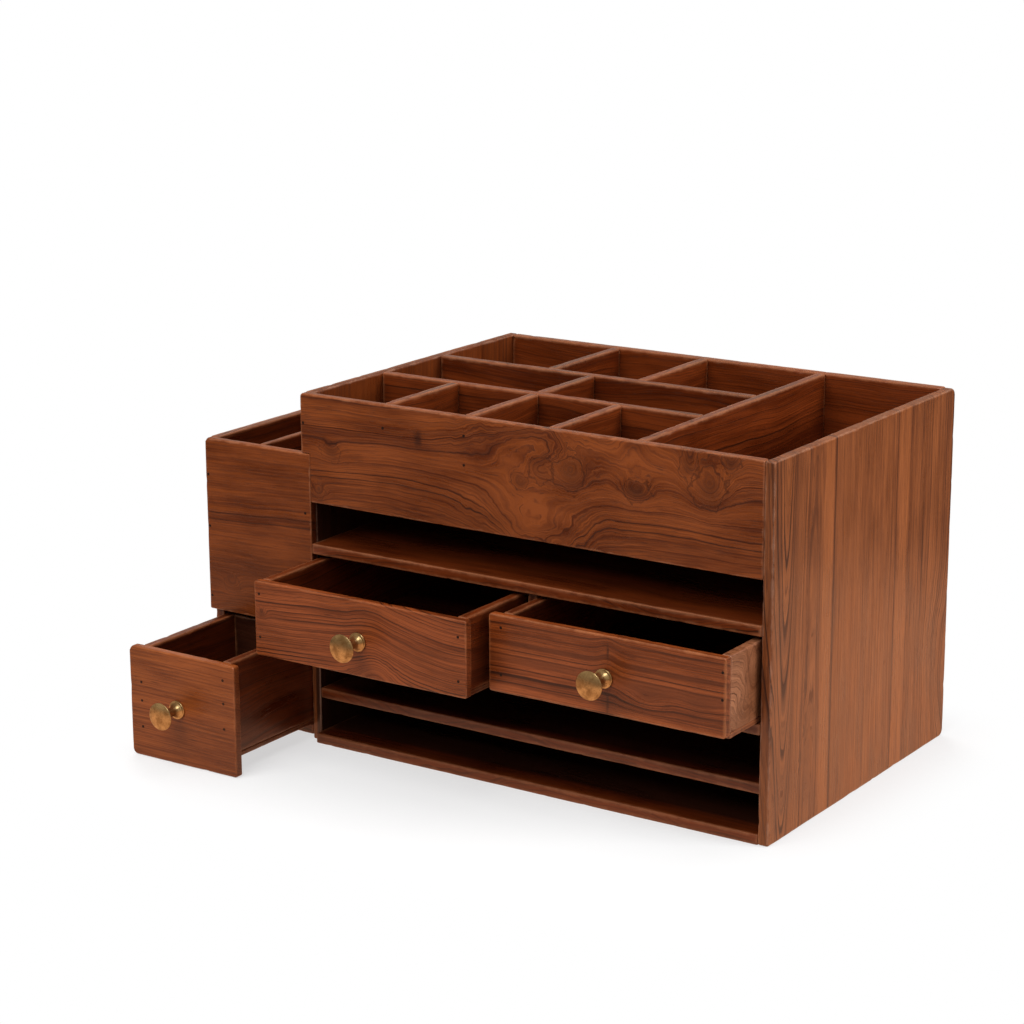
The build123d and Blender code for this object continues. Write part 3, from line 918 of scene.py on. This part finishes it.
def lathe(name: str, profile: np.ndarray, centre: Vector, turns: int = 96) -> Piece:
    """Turn a profile about a line that runs forward from a centre.

    The point at profile place i and turn j is the centre, plus radius i times the cosine and sine of angle j
    to the right and up, plus height i forward. The profile starts and ends on the line, at single points.

    Args:
        name: Name of the new object.
        profile: Radius and height of each profile point, millimetres, from the foot to the face.
        centre: Where the line starts, in metres.
        turns: Points round each ring.

    Returns:
        The new object, with each point's radius, height and turn in the attribute "turning".
    """
    rings = profile[1:-1]
    angle = np.linspace(0.0, 2.0 * pi, turns, endpoint=False)
    radius, height = (np.repeat(rings[:, i:i + 1], turns, axis=1) for i in (0, 1))
    marks = np.stack((radius, height, np.broadcast_to(angle, radius.shape)), axis=-1).reshape(-1, 3)
    marks = np.vstack((marks, [[0.0, profile[0, 1], 0.0], [0.0, profile[-1, 1], 0.0]]))
    flat, forward, turned = marks.T
    points = np.column_stack((flat * np.cos(turned), -forward, flat * np.sin(turned))) * MM + np.array(centre)
    foot, face = len(points) - 2, len(points) - 1
    here = np.arange(turns)
    after = (here + 1) % turns
    last = (len(rings) - 1) * turns
    caps = np.vstack((np.column_stack((np.full(turns, foot), here, after)),
                      np.column_stack((np.full(turns, face), last + after, last + here))))
    made = new_piece(name, points, ring_quads(len(rings), turns).tolist() + caps.tolist())
    made.data.attributes.new("turning", "FLOAT_VECTOR", "POINT").data.foreach_set("vector", marks.ravel())
    return made


@dataclass
class Knob:
    """A turned brass pull: foot, waist, flare and domed head, measured forward from the drawer's face."""

    drawer: str
    foot_radius: float = 7.3
    foot_height: float = 1.7
    foot_edge: float = 0.35
    foot_flat: float = 6.8
    lip: float = 0.75
    shoulder_radius: float = 5.7
    shoulder_foot: tuple[float, float] = (5.85, 1.72)
    neck_radius: float = 3.5
    neck_start: float = 7.6
    neck_end: float = 14.2
    neck_power: float = 2.2
    flare_radius: float = 5.5
    flare_end: float = 17.8
    dish_power: float = 0.7
    head_radius: float = 10.75
    rim_low: float = 18.9
    rim_high: float = 20.4
    rim_end: float = 62.0
    crown: float = 22.0
    crown_power: float = 2.3
    crown_end: float = 0.02
    neck_points: int = 25
    head_points: int = 14
    crown_points: int = 36
    foot_points: tuple[int, int] = (5, 10)
    piece: Piece | None = field(default=None, init=False)

    def profile(self) -> np.ndarray:
        """Draw the half section of the knob.

        The foot has a rounded lip. The waist narrows to the neck and the flare widens from it, each by a power of
        the way along. The head's underside rises by a smaller power, its rim is a half round, and the crown falls
        off with a power of the radius.

        Returns:
            Radius and height of each point, from the foot's centre to the crown.
        """
        share = np.linspace(0.0, 1.0, self.neck_points)[:, None]
        neck = np.array([self.neck_radius, self.neck_start])
        shoulder = np.array([self.shoulder_radius, self.foot_height + self.foot_edge])
        waist = neck + (shoulder - neck) * np.hstack(((1 - share) ** self.neck_power, 1 - share))
        neck = np.array([self.neck_radius, self.neck_end])
        flared = np.array([self.flare_radius, self.flare_end])
        flare = neck + (flared - neck) * np.hstack((share ** self.neck_power, share))
        half = (self.rim_high - self.rim_low) / 2
        under = np.linspace(0.0, 1.0, self.head_points)[1:-1, None]
        rim_foot = np.array([self.head_radius - half, self.rim_low])
        dish = flared + (rim_foot - flared) * np.hstack((under, under ** self.dish_power))
        rim = arc((self.head_radius - half, self.rim_low + half), half, -90.0, self.rim_end, self.head_points)
        spread = np.linspace(1.0, self.crown_end, self.crown_points)[1:, None]
        top = np.array([0.0, self.crown])
        crown = top + (rim[-1] - top) * np.hstack((spread, spread ** self.crown_power))
        low_points, high_points = self.foot_points
        return np.vstack((
            [[0.0, 0.0], [self.foot_flat, 0.0]],
            arc((self.foot_radius - self.foot_edge, self.foot_edge), self.foot_edge, -90.0, 0.0, low_points),
            arc((self.foot_radius - self.lip, self.foot_height - self.lip), self.lip, 0.0, 90.0, high_points),
            [self.shoulder_foot], waist, flare, dish, rim, crown, [top]))

    def build(self) -> None:
        """Turn the knob where its CAD node is."""
        low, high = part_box(f"{self.drawer}_knob")
        centre = Vector(((low.x + high.x) / 2, high.y, (low.z + high.z) / 2))
        self.piece = lathe(f"{self.drawer}_turned_knob", self.profile(), centre)
        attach(self.piece, self.drawer)
        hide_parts(f"{self.drawer}_knob")

    def dress(self, brass: Material) -> None:
        """Give the knob its brass."""
        self.piece.data.materials.append(brass)
        log.info("knob %s", self.piece.name)


@dataclass
class Drawer:
    """One drawer: the boards of its box, its knob, its nails and the knob's screw."""

    name: str
    seed: int
    front: TeakFinish = DRAWER_TEAK
    front_knots: Knots = ()
    front_strips: Strips = ()
    front_corners: tuple[float, float, float, float] = (2.0, 2.0, 2.0, 2.0)
    right_side: TeakFinish = INNER_PAINTED_SHADE_TEAK
    right_knots: Knots = ()
    back: TeakFinish = INNER_PAINTED_SHADE_TEAK
    knob: Knob = field(init=False)
    boards: list[Board] = field(init=False)

    def __post_init__(self) -> None:
        """Name the drawer's boards and its knob."""
        along, across = Grain.ALONG_SIDE, Grain.ACROSS_FRONT
        self.knob = Knob(self.name)
        self.boards = [
            Board(f"{self.name}_front", across, self.front, self.seed, self.front_knots, strips=self.front_strips,
                  followed=True, corners=self.front_corners),
            Board(f"{self.name}_left_side", along, INNER_PAINTED_SHADE_TEAK, self.seed + 1),
            Board(f"{self.name}_right_side", along, self.right_side, self.seed + 2, self.right_knots),
            Board(f"{self.name}_back", across, self.back, self.seed + 3),
            Board(f"{self.name}_bottom", Grain.LEVEL, INNER_PAINTED_SHADE_TEAK, self.seed + 4),
        ]

    def build(self) -> None:
        """Build the boards and turn the knob."""
        for board in self.boards:
            board.body = self.name
            board.build()
        self.knob.build()

    def dress(self, brass: Material, steel: Material) -> None:
        """Dress boards, knob and fastenings.

        Args:
            brass: The knob's metal.
            steel: The metal of nails and screw.
        """
        for board in self.boards:
            board.dress()
        self.knob.dress(brass)
        for node in (f"{self.name}_nails", f"{self.name}_knob_screw"):
            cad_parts[node].data.materials[0] = steel
            log.info("fastening %s", node)


@dataclass
class Case:
    """The standing case with its slots, tray and pen box: its boards' figure, and where lots change for painted shade.
    """

    apron_knots: Knots = (
        Knot(8, 238, (43, 45), spread=95), Knot(8, 236, (42, 24), spread=-26, calm=0.5),
        Knot(112, 262, (62, 20), calm=0.75), Knot(8, 217, (18, 14), calm=0.9), Knot(-8, 258, (16, 11), calm=0.9),
        Knot(5, 282, (45, 24), 16), Knot(-200, 255, (70, 26), 4), Knot(-125, 215, (60, 30), -4),
        Knot(110, 226, (60, 14), -3), Knot(38.5, 250.4, (15, 13.5), 30, 0.45), Knot(14, 249, (12, 10), 18, 0.3),
        Knot(-3.9, 238, (8, 7), 11, 0.4), Knot(95, 244.5, (12, 9), 22, 0.75), Knot(153.7, 253.9, (15, 15), 28, 0.5),
        Knot(137.2, 270.9, (8, 14), 14, 0.5), Knot(170.7, 275.4, (7, 9), 10, 0.5),
        Knot(92, 281, (14, 14), -14, 0.15), Knot(-176.6, 236.9, (10, 8), 7.5, 0.5),
        Knot(-188.9, 204.8, (7, 6), 9, 0.35), Knot(-94.9, 257.9, (6, 9), 0, 1), Knot(-94.9, 258.4, (3.5, 6), 0, 1),
    )
    apron_strips: Strips = (
        (190, 0.45, 0.9), (203, 0.45, 0.9), (204, 0.15, 1), (204.6, 0.5, 0.9), (210, 0.5, 0.9), (211, 0.12, 1),
        (211.6, 0.5, 0.9), (214, 0.45, 0.9), (215.2, 0.04, 1), (215.8, 0.52, 0.8), (218.6, 0.5, 0.8),
        (220.2, 0.02, 1), (220.8, 0.52, 0.7), (229, 0.55, 0.6), (230.5, 0.1, 0.8), (231, 0.52, 0.4),
        (240, 0.52, 0.4), (248, 0.5, 0.6), (249.4, 0.04, 1), (250, 0.52, 0.7), (253.4, 0.5, 0.8), (254.4, 0.24, 0.9),
        (255, 0.52, 0.8), (257.6, 0.5, 0.8), (258.8, 0.02, 1), (259.4, 0.5, 0.9), (265, 0.5, 0.9), (266, 0.18, 1),
        (266.6, 0.5, 0.9), (290, 0.45, 0.9),
    )
    pen_knots: Knots = (
        Knot(-255, 175, (200, 90), slant=-11), Knot(-277.6, 116.9, (9, 7), 9, 0.25), Knot(-270, 100, (30, 9), -6),
    )
    pen_strips: Strips = (
        (84, 0.5, 1.2), (100, 0.45, 1.2), (120, 0.42, 1), (140, 0.5, 0.7), (165, 0.55, 0.4), (169.2, 0.5, 0.4),
        (170, 0.02, 0.4), (171, 0.36, 0.4), (175.2, 0.32, 0.4), (176, 0.02, 0.4), (177.2, 0.6, 0.4), (182, 0.6, 0.4),
        (183.6, 0.2, 0.4), (185, 0.5, 0.5), (205, 0.46, 0.7), (233, 0.52, 0.7),
    )
    right_knots: Knots = (
        Knot(0, -122, (1000, 60), spread=120), Knot(0, -116, (1000, 20), 30), Knot(0, -125, (1000, 30), slant=100),
        Knot(58, 150, (56, 34), 34, 0.1), Knot(54, -97.5, (11, 3.2), 4, 0.75), Knot(106, -92, (10, 3), 4, 0.7),
        Knot(72, -92.5, (6, 2.4), 3, 0.6), Knot(190, 40.5, (26, 0.9), 0, 0.6), Knot(22, -37.5, (18, 1.6), 0, 0.6),
        Knot(165, 93.5, (80, 2.6), 0, 0.9),
    )
    right_strips: Strips = (
        (-143.5, 0.48, 1.4), (-114, 0.48, 1.3), (-110, 0.32, 1), (-106.5, 0.58, 1), (-103.5, 0.32, 1),
        (-100.5, 0.62, 1), (-97.5, 0.31, 1), (-94.5, 0.74, 0.6), (-92.5, 0.34, 1), (-86, 0.45, 0.5),
        (-73, 0.42, 0.5), (-70, 0.5, 0.4), (-68, 0.74, 0.12), (-55.4, 0.76, 0.1), (-54, 0.28, 0.2), (-53, 0.12, 0.2),
        (-51.6, 0.15, 0.2), (-50, 0.36, 0.4), (-44, 0.5, 0.3), (30, 0.52, 0.3), (45.4, 0.46, 0.4), (46.6, 0.14, 0.4),
        (47.8, 0.16, 0.4), (49.2, 0.5, 0.3), (52, 0.68, 0.15), (65, 0.72, 0.15), (69, 0.45, 0.6), (90, 0.42, 0.6),
        (97, 0.5, 0.5), (115, 0.52, 0.9), (143.5, 0.42, 1.1),
    )
    left_strips: Strips = (
        (-143.5, 0.5, 0.9), (-92, 0.42, 0.9), (-91, 0.1, 0.5), (-90, 0.62, 0.3), (-31, 0.55, 0.4), (-30, 0.1, 0.5),
        (-29, 0.44, 0.8), (38, 0.5, 0.7), (39, 0.1, 0.5), (40, 0.66, 0.3), (88, 0.6, 0.3), (89, 0.15, 0.5),
        (90, 0.46, 0.8), (143.5, 0.5, 0.8),
    )
    left_knots: Knots = (
        Knot(0, -118, (1000, 50), spread=95), Knot(0, -110, (1000, 20), 24, slant=70),
        Knot(180, 70, (60, 26), 24, 0.1),
    )
    back_knots: Knots = (
        Knot(-60, 60, (90, 22), 14, 0.1), Knot(90, 148, (46, 18), 16, 0.1), Knot(128, 152, (11, 9), 16, 0.4),
        Knot(-122, 236, (70, 22), -12),
    )
    back_strips: Strips = (
        (0, 0.46, 1), (94, 0.5, 0.9), (95.4, 0.12, 0.5), (96.6, 0.58, 0.7), (150, 0.6, 0.8), (188.6, 0.56, 0.8),
        (189.8, 0.14, 0.5), (191, 0.66, 0.8), (280, 0.7, 0.8),
    )
    side_knots: Knots = (
        Knot(-95, 150, (60, 26), 14, 0.1), Knot(-52, 96, (10, 8), 14, 0.35),
    )
    # Painted shade in the slots starts and is full this far behind the lower shelf's front; below the tray it fades in
    # this far either side of the tray floor's underside.
    slot_shade: tuple[float, float] = (6.5, 14.5)
    tray_shade: float = 5.0
    plain_seeds: tuple[int, int, int] = (60, 7, 3)
    boards: list[Board] = field(init=False)

    def __post_init__(self) -> None:
        """Name the case's boards."""
        across, along, level, upright = Grain.ACROSS_FRONT, Grain.ALONG_SIDE, Grain.LEVEL, Grain.UPRIGHT_SIDE
        pen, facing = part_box("pen_box_front")[1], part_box("apron")[0]
        shelf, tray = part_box("lower_shelf")[0].y / MM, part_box("tray_floor")[0].z / MM
        painted_slot_shade = (Change(DEEP_PAINTED_SHADE_TEAK, 1, *(shelf + reach for reach in self.slot_shade)),)
        painted_tray_shade = Change(DEEP_PAINTED_SHADE_TEAK, 2, tray + self.tray_shade, tray - self.tray_shade)
        self.boards = [
            Board("left_panel", upright, PANEL_PAINTED_SHADE_TEAK, 1, self.left_knots, strips=self.left_strips,
                  joints=(-91, -30, 39, 89), painted_shade_changes=(painted_tray_shade, outer_side("left_panel", PANEL_TEAK, 0, -1))),
            Board("right_panel", upright, PANEL_TEAK, 2, self.right_knots, strips=self.right_strips,
                  joints=(-99, -52.2, 47.2), corners=(2.4, 2.0, 5.5, 5.5), arris=1.3),
            Board("apron", across, FACING_TEAK, 4, self.apron_knots, tone=0.58, strips=self.apron_strips,
                  followed=True, corners=(1.4, 1.4, 2.2, 2.6),
                  notch=((pen.x - facing.x) / MM, (pen.z - facing.z) / MM)),
            Board("pen_box_front", across, PEN_TEAK, 20, self.pen_knots, strips=self.pen_strips, followed=True,
                  corners=(1.4, 1.4, 1.4, 3.0)),
            Board("pen_box_side", along, INNER_PAINTED_SHADE_TEAK, 104, self.side_knots,
                  painted_shade_changes=(outer_side("pen_box_side", FACING_TEAK, 0, -1),)),
            Board("pen_box_back", across, INNER_PAINTED_SHADE_TEAK, 69, painted_shade_changes=(outer_side("pen_box_back", FACING_TEAK, 1, 1),)),
            Board("back_panel", across, INNER_PAINTED_SHADE_TEAK, 107, self.back_knots, strips=self.back_strips, joints=(96, 190),
                  painted_shade_changes=(outer_side("back_panel", PANEL_TEAK, 1, 1),)),
            Board("lower_shelf", level, INNER_PAINTED_SHADE_TEAK, 76, painted_shade_changes=painted_slot_shade),
            Board("bottom_board", level, INNER_PAINTED_SHADE_TEAK, 79, painted_shade_changes=painted_slot_shade),
        ]
        plain = {
            across: ("tray_cross_divider_front", "tray_cross_divider_rear"),
            level: ("tray_floor", "upper_shelf", "drawer_board", "pen_box_bottom", "pen_box_floor"),
            along: ("drawer_partition", "tray_long_divider", "tray_front_divider_1", "tray_front_divider_2",
                    "tray_front_divider_3", "tray_middle_divider", "tray_rear_divider_1", "tray_rear_divider_2",
                    "pen_box_divider"),
        }
        first, row_step, place_step = self.plain_seeds
        self.boards += [Board(node, grain, INNER_PAINTED_SHADE_TEAK, first + row_step * row + place_step * place)
                        for row, (grain, nodes) in enumerate(plain.items()) for place, node in enumerate(nodes)]

    def build(self) -> None:
        """Build the boards."""
        for board in self.boards:
            board.build()

    def dress(self, steel: Material) -> None:
        """Dress the boards and the nails.

        Args:
            steel: The nails' metal.
        """
        for board in self.boards:
            board.dress()
        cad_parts["case_nails"].data.materials[0] = steel
        log.info("fastening case_nails")


@dataclass(frozen=True)
class Lamp:
    """A square soft box: place and aim in metres, side, light on the aim, and if it shows in gloss and lights matt."""

    name: str
    place: Place
    aim: Place
    side: float
    light: float
    mirrored: bool = True
    lights: bool = True

    def hang(self) -> None:
        """Hang the lamp, with its power worked out from the light wanted at its aim.

        A small square lamp of power P gives P over pi squared times distance squared on a face turned to it,
        which is the light that makes a colour render as written when it is 1.
        """
        data = bpy.data.lights.new(self.name, "AREA")
        away = Vector(self.place) - Vector(self.aim)
        data.size = self.side
        data.energy = self.light * pi * pi * away.length_squared
        lamp = bpy.data.objects.new(self.name, data)
        lamp.matrix_world = Matrix.Translation(self.place) @ away.to_track_quat("Z", "Y").to_matrix().to_4x4()
        lamp.visible_glossy = self.mirrored
        lamp.visible_diffuse = self.lights
        bpy.context.scene.collection.objects.link(lamp)
        log.info("lamp %s", self.name)


@dataclass
class Studio:
    """The white studio, in metres: floor, sky, soft boxes and the camera. Gloss shows a warm floor and sky."""

    lamps: tuple[Lamp, ...] = (
        Lamp("front_box", (-0.3, -1.7, 2.0), (0.0, -0.1, 0.15), 2.0, 0.8, mirrored=False),
        Lamp("right_box", (2.2, 0.45, 1.15), (0.2, 0.0, 0.14), 1.0, 0.76, mirrored=False),
        Lamp("top_box", (0.0, 0.1, 2.6), (0.0, 0.0, 0.28), 1.6, 0.32, mirrored=False),
        Lamp("gloss_box", (0.9, -0.9, 2.4), (0.0, -0.15, 0.12), 1.0, 0.25, lights=False),
        Lamp("back_box", (-1.8, 1.6, 1.3), (-0.1, 0.05, 0.15), 1.6, 0.5, mirrored=False),
    )
    sky: float = 0.16
    floor_side: float = 30.0
    floor_white: float = 0.97
    floor_bounce: float = 0.45
    shade_reach: tuple[float, float] = (0.0, 0.08)
    shade_share: float = 0.4
    sheet_reach: tuple[float, float] = (0.40, 0.53)
    sheet_front: float = 0.12
    front_reach: tuple[float, float] = (0.1, -0.1)
    sheet_glow: Colour = (1.0, 0.55, 0.35)
    far_glow: Colour = (0.05, 0.05, 0.05)
    sky_glow: Colour = (0.50, 0.41, 0.34)
    camera_place: Place = (1.050572, -1.720634, 0.714550)
    camera_turn: float = 33.94
    camera_dip: float = 14.75
    camera_roll: float = -0.245
    lens: float = 94.926
    film: float = 36.0

    def build(self) -> None:
        """Build the floor, the sky, the lamps and the camera."""
        bpy.context.scene.view_settings.view_transform = "Standard"
        self.build_floor()
        self.build_sky()
        for lamp in self.lamps:
            lamp.hang()
        self.build_camera()

    def build_floor(self) -> None:
        """Lay a plain pale floor that keeps the object's shadow, runs out into white and shows warm in gloss."""
        corners = np.array([[-1, -1, 0], [1, -1, 0], [1, 1, 0], [-1, 1, 0]]) * self.floor_side / 2
        floor = new_piece("studio_floor", corners, [[0, 1, 2, 3]])
        floor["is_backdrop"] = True
        made, sheet = new_material("pale_floor")
        made.node_tree.nodes.remove(made.node_tree.nodes["Principled BSDF"])
        seen, glossy = sheet.rays()
        place = sheet.add("ShaderNodeTexCoord").outputs["Object"]
        low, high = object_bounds()
        middle, half = tuple((low + high) / 2), tuple((high - low) / 2)
        beyond = sheet.vector("SUBTRACT", sheet.vector("ABSOLUTE", sheet.vector("SUBTRACT", place, middle)), half)
        outside = sheet.vector("MAXIMUM", beyond, (0.0, 0.0, 0.0))
        away = sheet.measure("LENGTH", sheet.vector("MULTIPLY", outside, (1.0, 1.0, 0.0)))
        front = sheet.step(sheet.split(place)[1], *self.front_reach)
        reached = sheet.total(away, sheet.times(front, self.sheet_front))
        glow = sheet.blend(sheet.step(reached, *self.sheet_reach), self.sheet_glow, self.far_glow)
        shade = sheet.blend(seen, (self.floor_bounce,) * 3, (self.floor_white,) * 3)
        lit = sheet.add("ShaderNodeBsdfDiffuse", {"Color": shade})
        white = sheet.add("ShaderNodeEmission", {"Color": sheet.blend(seen, glow, (1.0, 1.0, 1.0)), "Strength": 1.0})
        shaded = sheet.times(sheet.step(away, *self.shade_reach[::-1]), self.shade_share)
        fade = sheet.larger(sheet.times(sheet.minus(1.0, shaded), seen), glossy)
        mixed = sheet.add("ShaderNodeMixShader", {0: fade, 1: lit.outputs[0], 2: white.outputs[0]})
        sheet.feed(made.node_tree.nodes["Material Output"].inputs["Surface"], mixed.outputs[0])
        floor.data.materials.append(made)
        log.info("floor")

    def build_sky(self) -> None:
        """Make a sky that is white to the eye, warm in gloss and dim as a light."""
        world = bpy.data.worlds.new("studio_sky")
        world.use_nodes = True
        sheet = NodeSheet(world.node_tree)
        seen, glossy = sheet.rays()
        glow = sheet.blend(glossy, (self.sky,) * 3, self.sky_glow)
        back = world.node_tree.nodes["Background"]
        sheet.feed(back.inputs["Color"], sheet.blend(seen, glow, (1.0, 1.0, 1.0)))
        bpy.context.scene.world = world
        log.info("sky")

    def build_camera(self) -> None:
        """Set the camera where the picture was taken from.

        Forward is the level direction turned by the camera's turn and dipped by its dip. Right and up are rolled
        about it.
        """
        turn, dip, roll = radians(self.camera_turn), radians(self.camera_dip), radians(self.camera_roll)
        forward = Vector((-sin(turn) * cos(dip), cos(turn) * cos(dip), -sin(dip)))
        level = Vector((cos(turn), sin(turn), 0.0))
        above = level.cross(forward)
        right = cos(roll) * level + sin(roll) * above
        up = cos(roll) * above - sin(roll) * level
        axes = Matrix((right, up, -forward)).transposed().to_4x4()
        data = bpy.data.cameras.new("studio_camera")
        data.lens, data.sensor_width = self.lens, self.film
        camera = bpy.data.objects.new("studio_camera", data)
        camera.matrix_world = Matrix.Translation(self.camera_place) @ axes
        bpy.context.scene.collection.objects.link(camera)
        bpy.context.scene.camera = camera
        log.info("camera")


def write_sizes() -> None:
    """Bring the view layer up to date."""
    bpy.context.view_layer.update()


# Knots of the two upper drawers' boards, and strips of the side drawer's front, which is darker towards the bottom.
LEFT_FRONT: Knots = (
    Knot(-86, 122, (22, 60), -7), Knot(-125, 122, (50, 90), -4), Knot(-10, 122, (40, 90), 5),
    Knot(-83, 91, (16, 14), -13), Knot(-189.7, 125.8, (5, 4), 6, 0.7),
)
RIGHT_FRONT: Knots = (
    Knot(99.7, 135, (9, 25), -4), Knot(99.7, 138, (1.5, 9), 0, 1), Knot(99.7, 101, (1.7, 14), 0, 0.9),
    Knot(131.6, 107, (18, 7), 6), Knot(173, 111, (20, 7), 3, 0.3),
)
RIGHT_SIDE: Knots = (
    Knot(-147, 124, (15, 24), 34, 0.3), Knot(-163, 104, (11, 12), 20, 0.3),
)
SIDE_FRONT: Strips = (
    (-5, 0.36, 1), (25, 0.4, 1), (45, 0.58, 1), (75, 0.58, 0.9), (100, 0.58, 0.8),
)


def main() -> None:
    """Build and dress the organizer, then the studio round it."""
    logging.basicConfig(level=logging.INFO, format="%(name)s: %(message)s")
    steel = SteelFinish().material()
    brass = BrassFinish().material()
    case = Case()
    case.build()
    case.dress(steel)
    drawers = (
        Drawer("left_drawer", 30, front_knots=LEFT_FRONT),
        Drawer("right_drawer", 40, BANDED_TEAK, RIGHT_FRONT, right_side=BURL_TEAK, right_knots=RIGHT_SIDE),
        Drawer("side_drawer", 50, SIDE_TEAK, front_strips=SIDE_FRONT, front_corners=(4.5, 2.0, 2.0, 4.5),
               back=DEEP_PAINTED_SHADE_TEAK),
    )
    for drawer in drawers:
        drawer.build()
        drawer.dress(brass, steel)
    Studio().build()
    write_sizes()


if __name__ == "__main__":
    main()
